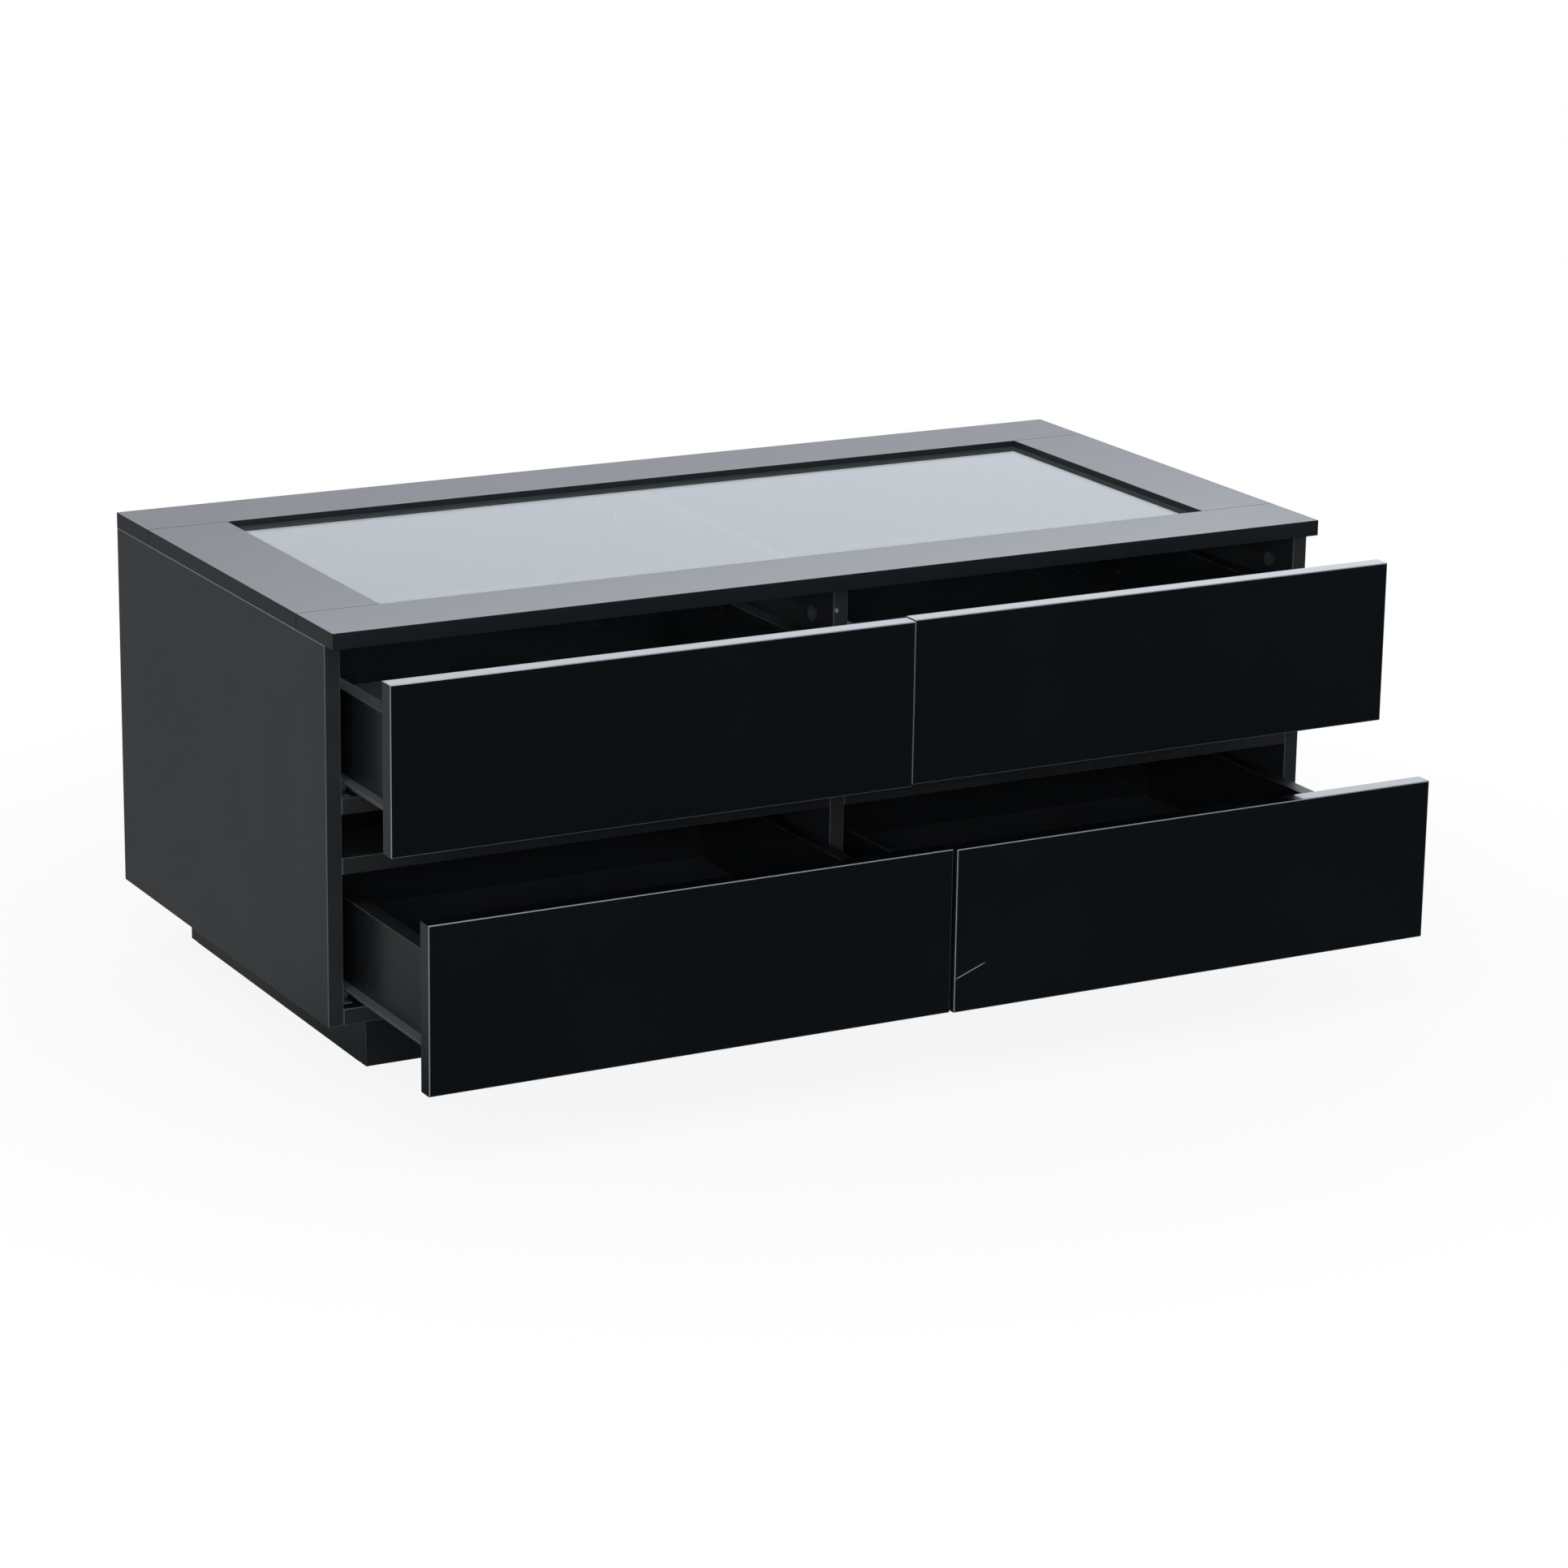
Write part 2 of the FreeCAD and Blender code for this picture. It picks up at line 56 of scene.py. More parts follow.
class Flow:
    """A shader value that can be used in Python expressions."""

    def __init__(self, book: "NodeBook", socket: bpy.types.NodeSocket) -> None:
        """Keep the socket and the book that its nodes go into."""
        self.book = book
        self.socket = socket

    def _math(self, operation: str, first: "Term", second: "Term" = 0.0) -> "Flow":
        """Add one Math node.

        Args:
            operation: the Math node's operation.
            first: its first value or link.
            second: its second value or link.

        Returns:
            The node's result.
        """
        made = self.book.node("ShaderNodeMath", {"operation": operation}, {0: first, 1: second})
        return Flow(self.book, made.outputs[0])

    def __add__(self, other: "Term") -> "Flow":
        """self + other."""
        return self._math("ADD", self, other)

    __radd__ = __add__

    def __sub__(self, other: "Term") -> "Flow":
        """self - other."""
        return self._math("SUBTRACT", self, other)

    def __rsub__(self, other: "Term") -> "Flow":
        """other - self."""
        return self._math("SUBTRACT", other, self)

    def __mul__(self, other: "Term") -> "Flow":
        """self * other."""
        return self._math("MULTIPLY", self, other)

    __rmul__ = __mul__

    def __lt__(self, other: "Term") -> "Flow":
        """1 where self is under other, else 0."""
        return self._math("LESS_THAN", self, other)

    def __abs__(self) -> "Flow":
        """The size of self."""
        return self._math("ABSOLUTE", self)

    def most(self, other: "Term") -> "Flow":
        """The larger of self and other."""
        return self._math("MAXIMUM", self, other)

    def ramp(self, low: float, high: float) -> "Flow":
        """Rise smoothly from 0 at low to 1 at high.

        Args:
            low: the value that gives 0.
            high: the value that gives 1; it may be under low.

        Returns:
            The smooth step.
        """
        made = self.book.node(
            "ShaderNodeMapRange", {"interpolation_type": "SMOOTHSTEP"},
            {"Value": self, "From Min": low, "From Max": high, "To Min": 0.0, "To Max": 1.0})
        return Flow(self.book, made.outputs[0])


Term = Union[Flow, float]
Input = Union[Flow, bpy.types.NodeSocket, float, Sequence[float]]


class NodeBook:
    """The node tree of one material, light or world, written from scratch."""

    def __init__(self, tree: bpy.types.NodeTree) -> None:
        """Clear the tree."""
        self.tree = tree
        tree.nodes.clear()

    @classmethod
    def of_material(cls, name: str) -> Tuple["NodeBook", bpy.types.Material]:
        """Start a material.

        Args:
            name: the material's name.

        Returns:
            Its book and the material.
        """
        material = bpy.data.materials.new(name)
        material.use_nodes = True
        return cls(material.node_tree), material

    def node(self, kind: str, settings: Optional[Dict[str, object]] = None,
             sockets: Optional[Dict[Union[int, str], Input]] = None) -> bpy.types.Node:
        """Add a node.

        Args:
            kind: the node's type.
            settings: properties that are set first.
            sockets: values or links for its inputs, by name or number.

        Returns:
            The node.
        """
        made = self.tree.nodes.new(kind)
        for key, value in (settings or {}).items():
            setattr(made, key, value)
        for key, value in (sockets or {}).items():
            socket = made.inputs[key]
            if isinstance(value, Flow):
                self.tree.links.new(value.socket, socket)
            elif isinstance(value, bpy.types.NodeSocket):
                self.tree.links.new(value, socket)
            else:
                socket.default_value = value
        return made

    def flow(self, made: bpy.types.Node, output: Union[int, str] = 0) -> Flow:
        """Take a node's output into expressions."""
        return Flow(self, made.outputs[output])

    def place(self) -> bpy.types.NodeSocket:
        """The point on the object, in metres from the frame's origin at rest."""
        return self.node("ShaderNodeTexCoord").outputs["Object"]

    def apart(self, vector: Input) -> Tuple[Flow, Flow, Flow]:
        """Split a vector into its three numbers."""
        made = self.node("ShaderNodeSeparateXYZ", None, {0: vector})
        return self.flow(made, 0), self.flow(made, 1), self.flow(made, 2)

    def facing(self) -> Tuple[Flow, Flow, Flow]:
        """The direction that a face looks in, as X, Y and Z."""
        return self.apart(self.node("ShaderNodeNewGeometry").outputs["True Normal"])

    def stretched(self, vector: Input, scale: Point) -> bpy.types.NodeSocket:
        """Scale a vector by three factors."""
        made = self.node("ShaderNodeVectorMath", {"operation": "MULTIPLY"}, {0: vector, 1: scale})
        return made.outputs[0]

    def noise(self, vector: Input, size: float, detail: float = 2.0, rough: float = 0.5) -> Flow:
        """Soft noise from 0 to 1.

        Args:
            vector: the point.
            size: about how far apart its lumps lie, in metres.
            detail: its octaves.
            rough: how strong the finer octaves are.

        Returns:
            The noise.
        """
        made = self.node("ShaderNodeTexNoise", None,
                         {"Vector": vector, "Scale": 1.0 / size, "Detail": detail, "Roughness": rough})
        return self.flow(made, 0)

    def specks(self, vector: Input, spacing: float, radius: float, share: float) -> Flow:
        """Scattered round dots.

        Args:
            vector: the point.
            spacing: about how far apart the cells lie, in metres.
            radius: the largest dot's radius in metres.
            share: the part of the cells that holds a dot.

        Returns:
            1 inside a dot, else 0.
        """
        cell = self.node("ShaderNodeTexVoronoi", {"feature": "F1"},
                         {"Vector": vector, "Scale": 1.0 / spacing})
        red, green, _ = self.apart(cell.outputs["Color"])
        size = (SMALLEST_SPECK + green * (1.0 - SMALLEST_SPECK)) * (radius / spacing)
        return (self.flow(cell, "Distance") < size) * (red < share)

    def blend(self, factor: Input, first: Input, second: Input) -> bpy.types.NodeSocket:
        """Mix two colours.

        Args:
            factor: 0 gives the first, 1 the second.
            first: a colour or its link.
            second: a colour or its link.

        Returns:
            The mixed colour.
        """
        sides = [c if isinstance(c, (Flow, bpy.types.NodeSocket)) else (*c, 1.0) for c in (first, second)]
        made = self.node("ShaderNodeMix", {"data_type": "RGBA"}, {0: factor, 6: sides[0], 7: sides[1]})
        return made.outputs[2]

    def broken_edge(self) -> Flow:
        """1 on the slanted faces of a chamfer or a rounded edge, 0 on a board's flat faces."""
        nx, ny, nz = (abs(n) for n in self.facing())
        return (nx * ny).most(nx * nz).most(ny * nz).ramp(*SLANTED)

    def upward(self) -> Flow:
        """1 where a face looks up, 0 where it is upright or looks down."""
        _, _, nz = self.facing()
        return nz.ramp(*LOOKS_UP)

    def bump(self, height: Flow, depth: float) -> bpy.types.NodeSocket:
        """A surface's small relief, with its depth in metres."""
        made = self.node("ShaderNodeBump", None, {"Strength": 1.0, "Distance": depth, "Height": height})
        return made.outputs[0]

    def shaded(self, kind: str, sockets: Dict[Union[int, str], Input]) -> bpy.types.NodeSocket:
        """A shader node's result."""
        return self.node(kind, None, sockets).outputs[0]

    def surface(self, sockets: Dict[str, Input]) -> None:
        """Close a material with one Principled shader."""
        self.finish(self.shaded("ShaderNodeBsdfPrincipled", sockets))

    def finish(self, shader: bpy.types.NodeSocket) -> None:
        """Link a shader to a material's output."""
        self.node("ShaderNodeOutputMaterial", None, {"Surface": shader})


def grey(level: float) -> Tuple[float, float, float, float]:
    """A neutral colour."""
    return (level, level, level, 1.0)


def scaled(colour: Colour, factor: float) -> Colour:
    """A colour made darker or paler."""
    return (colour[0] * factor, colour[1] * factor, colour[2] * factor)


@dataclass(frozen=True)
class SatinBoard:
    """Black satin foil or lacquer on board, with a fine eggshell relief and a little dust.

    The broken edges take edge, or crest where they look up. By default both are paler than the board, as
    painted highlights, crest the stronger one for the edges that face the light from above. Upright is
    the share of the colour that the faces which don't look up keep, painting shade on them where it is
    under 1; upper_rough is what the faces that look up add to the roughness, and smear scales the clouds
    and wipe marks in it. Sizes are in metres.
    """

    name: str
    colour: Colour
    rough: float
    mottle: float = 0.12
    # Painted highlights: pale colours for the broken edges, and a paler crest for the edges that look up.
    edge: Colour = (0.090, 0.095, 0.101)
    crest: Colour = (0.30, 0.305, 0.30)
    edge_rough: float = 0.0
    # Painted shade: upright under 1 darkens the faces that don't look up.
    upright: float = 1.0
    upper_rough: float = 0.0
    gloss: float = 0.5
    smear: float = 1.0
    shell_size: float = 1.1 * MM
    shell_depth: float = 0.012 * MM
    cloud_size: float = 110.0 * MM
    cloud_span: Span = (0.3, 0.7)
    cloud_rough: float = 0.06
    wipe_size: float = 50.0 * MM
    wipe_stretch: Point = (1.0, 2.6, 3.5)
    wipe_rough: float = 0.07
    dust_share: float = 0.10
    dust_spacing: float = 21.0 * MM
    dust_radius: float = 0.42 * MM
    dust_colour: Colour = (0.16, 0.165, 0.17)
    dust_cover: float = 0.5
    dust_rough: float = 0.2

    def material(self) -> bpy.types.Material:
        """Write the material.

        Returns:
            The material.
        """
        book, material = NodeBook.of_material(self.name)
        place = book.place()
        shell = book.noise(place, self.shell_size)
        cloud = book.noise(place, self.cloud_size, detail=3.0)
        wipe = book.noise(book.stretched(place, self.wipe_stretch), self.wipe_size, detail=4.0, rough=0.6)
        dust = book.specks(place, self.dust_spacing, self.dust_radius, self.dust_share)
        broken, upward = book.broken_edge(), book.upward()
        deep, pale = scaled(self.colour, 1.0 - self.mottle), scaled(self.colour, 1.0 + self.mottle)
        tone = book.blend(cloud.ramp(*self.cloud_span), deep, pale)
        # Painted shade: the faces that don't look up keep only the upright share of the colour.
        if self.upright < 1.0:
            tone = book.blend(upward, scaled(self.colour, self.upright), tone)
        # Painted highlights on the broken edges: edge, or crest where they look up.
        tone = book.blend(broken, tone, book.blend(upward, self.edge, self.crest))
        tone = book.blend(dust * self.dust_cover, tone, self.dust_colour)
        marks = (cloud - NOISE_MEAN) * self.cloud_rough + (wipe - NOISE_MEAN) * self.wipe_rough
        rough = self.rough + marks * self.smear + dust * self.dust_rough
        rough = rough + broken * self.edge_rough + upward * self.upper_rough
        book.surface({"Base Color": tone, "Roughness": rough, "Specular IOR Level": self.gloss,
                      "Normal": book.bump(shell, self.shell_depth)})
        return material


@dataclass(frozen=True)
class Hairline:
    """A fine scratch on a front's face, from one point to another, as X and Z in metres."""

    start: Span
    end: Span
    width: float = 0.7 * MM
    core: float = 0.2
    fade_in: float = 0.1
    fade_out: float = 0.8

    def mask(self, book: NodeBook, place: bpy.types.NodeSocket) -> Flow:
        """Draw the scratch.

        Args:
            book: the material's book.
            place: the point on the object.

        Returns:
            1 on the scratch, fading to 0 at its sides and ends.
        """
        x, _, z = book.apart(place)
        run = (self.end[0] - self.start[0], self.end[1] - self.start[1])
        length = math.hypot(*run)
        ux, uz = run[0] / length, run[1] / length
        along = (x - self.start[0]) * ux + (z - self.start[1]) * uz
        across = abs((x - self.start[0]) * -uz + (z - self.start[1]) * ux)
        ends = along.ramp(0.0, self.fade_in * length) * along.ramp(length, self.fade_out * length)
        return across.ramp(self.width, self.core * self.width) * ends


@dataclass(frozen=True)
class GlossLacquer:
    """High-gloss black lacquer: a clear coat over black, duller end bands, dust, and painted highlights.

    The end bands are the faces that look along X; the highlights are painted on the broken edges as a pale
    colour. Sizes are in metres.
    """

    name: str
    colour: Colour
    hairline: Optional[Hairline] = None
    rough: float = 0.07
    pale: float = 1.5
    cloud_size: float = 160.0 * MM
    cloud_span: Span = (0.35, 0.7)
    # Painted highlight: the pale colour of the broken edges.
    edge: Colour = (0.20, 0.208, 0.222)
    edge_rough: float = 0.15
    band: Colour = (0.007, 0.008, 0.009)
    band_span: Span = (0.85, 0.95)
    band_rough: float = 0.14
    band_bare: float = 0.9
    peel_size: float = 6.0 * MM
    peel_depth: float = 0.004 * MM
    smear_size: float = 90.0 * MM
    smear_stretch: Point = (1.0, 1.0, 3.0)
    smear_span: Span = (0.45, 0.8)
    smear_rough: float = 0.05
    dust_share: float = 0.16
    dust_spacing: float = 55.0 * MM
    dust_radius: float = 0.9 * MM
    dust_cover: float = 0.75
    scratch_cover: float = 0.9
    mark_colour: Colour = (0.30, 0.31, 0.33)
    mark_rough: float = 0.4
    coat_rough: float = 0.03

    def material(self) -> bpy.types.Material:
        """Write the material.

        Returns:
            The material.
        """
        book, material = NodeBook.of_material(self.name)
        place = book.place()
        peel = book.noise(place, self.peel_size, detail=1.0)
        cloud = book.noise(place, self.cloud_size, detail=3.0)
        smear = book.noise(book.stretched(place, self.smear_stretch), self.smear_size,
                           detail=5.0, rough=0.62)
        mark = book.specks(place, self.dust_spacing, self.dust_radius, self.dust_share) * self.dust_cover
        if self.hairline is not None:
            mark = mark.most(self.hairline.mask(book, place) * self.scratch_cover)
        broken = book.broken_edge()
        nx, _, _ = book.facing()
        end = abs(nx).ramp(*self.band_span)
        tone = book.blend(cloud.ramp(*self.cloud_span), self.colour, scaled(self.colour, self.pale))
        tone = book.blend(end, tone, self.band)
        # Painted highlights: the broken edges take the pale edge colour.
        tone = book.blend(broken, tone, self.edge)
        tone = book.blend(mark, tone, self.mark_colour)
        rough = self.rough + smear.ramp(*self.smear_span) * self.smear_rough
        rough = rough + broken * self.edge_rough + mark * self.mark_rough + end * self.band_rough
        book.surface({"Base Color": tone, "Roughness": rough, "Specular IOR Level": 0.5,
                      "Coat Weight": (1.0 - mark) * (1.0 - end * self.band_bare),
                      "Coat Roughness": self.coat_rough, "Normal": book.bump(peel, self.peel_depth)})
        return material


@dataclass(frozen=True)
class ClearGlass:
    """Clear tempered glass with a thin film of dust, faint wipe marks and greener edges."""

    name: str
    colour: Colour = (0.72, 0.80, 0.79)
    clear: float = 0.95
    ior: float = 1.52
    edge_tint: Colour = (0.55, 0.80, 0.76)
    edge_span: Span = (0.9, 0.5)
    rough: float = 0.004
    wipe_size: float = 120.0 * MM
    wipe_stretch: Point = (1.0, 3.0, 1.0)
    wipe_span: Span = (0.55, 0.85)
    wipe_rough: float = 0.03

    def material(self) -> bpy.types.Material:
        """Write the material.

        Returns:
            The material.
        """
        book, material = NodeBook.of_material(self.name)
        place = book.place()
        wipe = book.noise(book.stretched(place, self.wipe_stretch), self.wipe_size, detail=4.0, rough=0.6)
        edge = tuple(c * f for c, f in zip(self.colour, self.edge_tint))
        _, _, nz = book.facing()
        tone = book.blend(abs(nz).ramp(*self.edge_span), self.colour, edge)
        rough = self.rough + wipe.ramp(*self.wipe_span) * self.wipe_rough
        book.surface({"Base Color": tone, "Roughness": rough, "IOR": self.ior,
                      "Transmission Weight": self.clear})
        return material


@dataclass(frozen=True)
class CoatedSteel:
    """Thin steel with a coat of paint or plating, worn paler along its runs. Sizes are in metres."""

    name: str
    colour: Colour
    metal: float
    rough: float
    wear: Colour = (0.22, 0.225, 0.235)
    wear_span: Span = (0.58, 0.78)
    wear_cover: float = 0.5
    wear_metal: float = 0.2
    wear_polish: float = 0.08
    streak_size: float = 12.0 * MM
    streak_stretch: Point = (6.0, 0.5, 6.0)
    grit_size: float = 0.7 * MM
    grit_depth: float = 0.02 * MM
    grit_rough: float = 0.12

    def material(self) -> bpy.types.Material:
        """Write the material.

        Returns:
            The material.
        """
        book, material = NodeBook.of_material(self.name)
        place = book.place()
        grit = book.noise(place, self.grit_size)
        streak = book.noise(book.stretched(place, self.streak_stretch), self.streak_size,
                            detail=3.0, rough=0.6)
        rubbed = streak.ramp(*self.wear_span)
        tone = book.blend(rubbed * self.wear_cover, self.colour, self.wear)
        rough = self.rough + (grit - NOISE_MEAN) * self.grit_rough - rubbed * self.wear_polish
        book.surface({"Base Color": tone, "Metallic": self.metal + rubbed * self.wear_metal,
                      "Roughness": rough, "Normal": book.bump(grit, self.grit_depth)})
        return material


@dataclass(frozen=True)
class MouldedPlastic:
    """Moulded plastic or rubber with a spark-eroded skin. Sizes are in metres."""

    name: str
    colour: Colour
    rough: float
    deep: float = 0.85
    cloud_size: float = 9.0 * MM
    cloud_span: Span = (0.3, 0.7)
    skin_size: float = 0.5 * MM
    skin_depth: float = 0.02 * MM
    skin_rough: float = 0.15

    def material(self) -> bpy.types.Material:
        """Write the material.

        Returns:
            The material.
        """
        book, material = NodeBook.of_material(self.name)
        place = book.place()
        skin = book.noise(place, self.skin_size)
        cloud = book.noise(place, self.cloud_size)
        tone = book.blend(cloud.ramp(*self.cloud_span), scaled(self.colour, self.deep), self.colour)
        rough = self.rough + (skin - NOISE_MEAN) * self.skin_rough
        book.surface({"Base Color": tone, "Roughness": rough, "Normal": book.bump(skin, self.skin_depth)})
        return material


class Look(Enum):
    """The table's finishes."""

    # Top: painted shade keeps 0.65 of its colour on faces that don't look up; its dark edges are joint
    # lines.
    TOP = SatinBoard("top_satin", (0.0180, 0.0205, 0.0235), 0.30, edge=(0.010, 0.010, 0.012),
                     crest=(0.010, 0.010, 0.012), edge_rough=0.35, upright=0.65, gloss=0.34, smear=0.45)
    CARCASS = SatinBoard("carcass_satin", (0.0230, 0.0238, 0.0246), 0.38)
    PARTITION = SatinBoard("partition_satin", (0.0175, 0.0182, 0.0192), 0.58, crest=(0.02, 0.021, 0.022))
    DRAWER = SatinBoard("drawer_satin", (0.0068, 0.0078, 0.0086), 0.26, upper_rough=0.17)
    BASE = SatinBoard("drawer_base_satin", (0.0420, 0.0450, 0.0480), 0.46, mottle=0.16)
    PLINTH = SatinBoard("plinth_satin", (0.0115, 0.0128, 0.0132), 0.40)
    FRONT = GlossLacquer("front_gloss", (0.0016, 0.0019, 0.0024))
    MARKED_FRONT = GlossLacquer("front_gloss_marked", (0.0016, 0.0019, 0.0024),
                                hairline=Hairline((0.0016, 0.1016), (0.0370, 0.1152)))
    GLASS = ClearGlass("clear_glass")
    RUNNER = CoatedSteel("runner_epoxy", (0.150, 0.156, 0.162), metal=0.50, rough=0.28)
    SCREW = CoatedSteel("screw_black", (0.014, 0.014, 0.015), metal=0.3, rough=0.45,
                        wear=(0.05, 0.05, 0.052))
    CAM = CoatedSteel("cam_zinc", (0.20, 0.205, 0.21), metal=0.75, rough=0.42)
    ROLLER = MouldedPlastic("roller_nylon", (0.045, 0.047, 0.05), 0.45)
    CAP = MouldedPlastic("cap_plastic", (0.030, 0.031, 0.033), 0.45)
    BUMPER = MouldedPlastic("bumper_soft", (0.34, 0.35, 0.36), 0.4)


@dataclass
class Workshop:
    """Writes each finish once, and puts finishes and broken edges on the frame's nodes."""

    join: float = 0.01 * MM
    bevel_steps: int = 2
    bevel_angle: float = math.radians(40.0)
    flat_weight: int = 100
    crisp_angle: float = math.radians(38.0)

    def __post_init__(self) -> None:
        """Start with no materials written."""
        self.written: Dict[Look, bpy.types.Material] = {}

    def material(self, look: Look) -> bpy.types.Material:
        """Write a finish where it is new.

        Args:
            look: the finish.

        Returns:
            Its material.
        """
        if look not in self.written:
            self.written[look] = look.value.material()
        return self.written[look]

    def soften(self, thing: bpy.types.Object, width: float) -> None:
        """Round a node's sharp edges with modifiers.

        Args:
            thing: the node's object.
            width: the rounding's width in metres.
        """
        weld = thing.modifiers.new("joined", "WELD")
        weld.merge_threshold = self.join
        soft = thing.modifiers.new("broken_edge", "BEVEL")
        soft.width = width
        soft.segments = self.bevel_steps
        soft.use_clamp_overlap = False
        soft.limit_method = "ANGLE"
        soft.angle_limit = self.bevel_angle
        flat = thing.modifiers.new("flat_faces", "WEIGHTED_NORMAL")
        flat.mode = "FACE_AREA"
        flat.weight = self.flat_weight
        flat.keep_sharp = False

    def dress(self, names: Iterable[str], look: Look, bevel: float = 0.0) -> None:
        """Give nodes a finish, and round their sharp edges a little.

        Args:
            names: the nodes.
            look: their finish.
            bevel: the rounding's width in metres; 0 leaves the edges.
        """
        for name in names:
            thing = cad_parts[name]
            for slot in thing.material_slots:
                slot.material = self.material(look)
            if bevel:
                self.soften(thing, bevel)
            LOG.info("%s: %s", name, look.value.name)

    def piece(self, name: str, mesh: bmesh.types.BMesh, look: Look, body: str) -> None:
        """Make a new piece that rides on a body.

        Args:
            name: the piece's name.
            mesh: its mesh, freed here.
            look: its finish.
            body: the body that carries it.
        """
        data = bpy.data.meshes.new(name)
        bmesh.ops.recalc_face_normals(mesh, faces=mesh.faces[:])
        mesh.to_mesh(data)
        mesh.free()
        data.materials.append(self.material(look))
        for face in data.polygons:
            face.use_smooth = True
        made = bpy.data.objects.new(name, data)
        bpy.context.scene.collection.objects.link(made)
        sharp = made.modifiers.new("crisp", "EDGE_SPLIT")
        sharp.split_angle = self.crisp_angle
        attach(made, body)
        LOG.info("%s: %s on %s", name, look.value.name, body)


@dataclass(frozen=True)
class CrossHead:
    """A round head with a cross recess, as on a screw or a cam lock.

    Radius, height and sink are in metres. Crown and dish are shares of the height, arm, slot and rings of
    the radius, and the angles are in radians.
    """

    radius: float
    height: float
    crown: float = 0.45
    arm: float = 0.55
    slot: float = 0.17
    sink: float = 0.8 * MM
    turn: float = 0.3
    around: int = 48
    dish: float = 0.25
    shoulder: Tuple[float, ...] = (0.35, 0.7)
    rings: Tuple[float, ...] = (0.62, 0.55, 0.46, 0.36, 0.27, 0.20, 0.15, 0.10, 0.05)

    def steps(self) -> List[Span]:
        """List the head's rings from its seat inward.

        Returns:
            Each ring's share of the radius and of the height.
        """
        wall = 1.0 - self.crown
        rim = [(1.0, 0.0), (1.0, wall)]
        bend = [(math.cos(a), wall + self.crown * math.sin(a)) for a in self.shoulder]
        return rim + bend + [(r, 1.0 - self.dish * self.crown * r) for r in self.rings]

    def sunk(self, share: float, angle: float) -> bool:
        """Tell whether a point of the head lies in the cross.

        Args:
            share: its distance from the middle, as a share of the radius.
            angle: its direction.

        Returns:
            True inside one of the two slots.
        """
        u, v = abs(math.cos(angle - self.turn) * share), abs(math.sin(angle - self.turn) * share)
        return (u < self.slot and v < self.arm) or (v < self.slot and u < self.arm)

    def build(self, mesh: bmesh.types.BMesh, seat: Vector, outward: Vector) -> None:
        """Add the head to a mesh.

        Args:
            mesh: the mesh that takes it.
            seat: the middle of the face that it sits on.
            outward: the direction it stands out in.
        """
        side = outward.orthogonal().normalized()
        across = outward.cross(side).normalized()
        rings: List[List[bmesh.types.BMVert]] = []
        for share, rise in self.steps():
            ring = []
            for i in range(self.around):
                angle = 2.0 * math.pi * i / self.around
                reach = share * self.radius
                up = rise * self.height - (self.sink if self.sunk(share, angle) else 0.0)
                spot = side * (reach * math.cos(angle)) + across * (reach * math.sin(angle))
                ring.append(mesh.verts.new(seat + spot + outward * up))
            rings.append(ring)
        for low, high in zip(rings, rings[1:]):
            for i in range(self.around):
                j = (i + 1) % self.around
                mesh.faces.new((low[i], low[j], high[j], high[i]))
        mesh.faces.new(rings[-1])
        mesh.faces.new(list(reversed(rings[0])))


@dataclass
class TopFrame:
    """The four top boards and the glass that lies in them."""

    boards: Tuple[str, ...] = ("top_front_rail", "top_back_rail", "top_left_stile", "top_right_stile")
    glass: str = "glass_panel"
    bevel: float = 0.5 * MM
    glass_bevel: float = 0.6 * MM

    def dress(self, shop: Workshop) -> None:
        """Finish the boards and the glass."""
        shop.dress(self.boards, Look.TOP, self.bevel)
        shop.dress([self.glass], Look.GLASS, self.glass_bevel)


@dataclass
class Carcass:
    """Side panels, partition, bottom, back, grip rails, plinth, cam locks and bumper."""

    boards: Tuple[str, ...] = ("left_side_panel", "right_side_panel", "bottom_board",
                               "back_panel", "upper_grip_rail_left", "upper_grip_rail_right",
                               "lower_grip_rail_left", "lower_grip_rail_right")
    plinth: Tuple[str, ...] = ("plinth_front", "plinth_back", "plinth_left", "plinth_centre",
                               "plinth_right")
    bevel: float = 0.8 * MM
    cap_bevel: float = 0.3 * MM
    bumper_bevel: float = 0.4 * MM
    wall: float = 534.0 * MM
    partition: float = 8.0 * MM
    cap: float = 1.2 * MM
    cam_y: Span = (-212.0 * MM, 216.0 * MM)
    cam_z: float = 402.0 * MM
    cam: CrossHead = CrossHead(7.2 * MM, 0.7 * MM, crown=0.35, arm=0.62, slot=0.12,
                               sink=0.55 * MM, turn=0.5)

    def dress(self, shop: Workshop) -> None:
        """Finish the boards and the small fittings.

        Args:
            shop: the workshop.
        """
        shop.dress(self.boards, Look.CARCASS, self.bevel)
        shop.dress(["centre_partition"], Look.PARTITION, self.bevel)
        shop.dress(self.plinth, Look.PLINTH, self.bevel)
        shop.dress(["cam_locks"], Look.CAP, self.cap_bevel)
        shop.dress(["partition_bumper"], Look.BUMPER, self.bumper_bevel)

    def build_cam_faces(self, shop: Workshop) -> None:
        """Add the cross-slotted faces of the cam locks, on their caps.

        Args:
            shop: the workshop.
        """
        mesh = bmesh.new()
        spots = ((-self.wall + self.cap, 1.0), (self.wall - self.cap, -1.0),
                 (-self.partition - self.cap, -1.0))
        for x, way in spots:
            for y in self.cam_y:
                self.cam.build(mesh, Vector((x, y, self.cam_z)), Vector((way, 0.0, 0.0)))
        shop.piece("cam_lock_faces", mesh, Look.CAM, "carcass")


